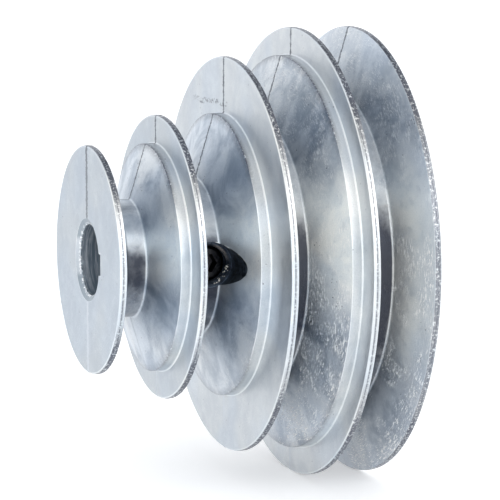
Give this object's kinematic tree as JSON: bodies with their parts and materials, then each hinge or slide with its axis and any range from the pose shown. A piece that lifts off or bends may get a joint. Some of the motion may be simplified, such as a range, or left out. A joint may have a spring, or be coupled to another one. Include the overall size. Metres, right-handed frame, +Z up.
{
  "type": "stepped v-belt pulley",
  "caption": "Stepped V-belt cone pulley: a bright die-cast zinc body with grooves of rising size, a keyed bore, a cored-out ribbed back and a socket set screw in its hub.",
  "frame": {"origin": "on the bore's axis, halfway between the small end's face and the large end's face", "axes": "+X along the bore from the small end to the large end, +Z up, set screw and keyway on the -Y side, parting plane Y = 0"},
  "size_m": [0.0636, 0.1016, 0.1016],
  "materials": {
    "cast_zinc": "satin as-cast",
    "black_steel": "black oxide"
  },
  "bodies": {
    "pulley": {"pulley_casting": "cast_zinc"},
    "screw": {"set_screw": "black_steel"}
  },
  "joints": [
    {"name": "set_screw_travel", "type": "slide", "parent": "pulley", "child": "screw", "axis": [0, -1, 0], "range_m": [-0.0011, 0.0085]}
  ]
}
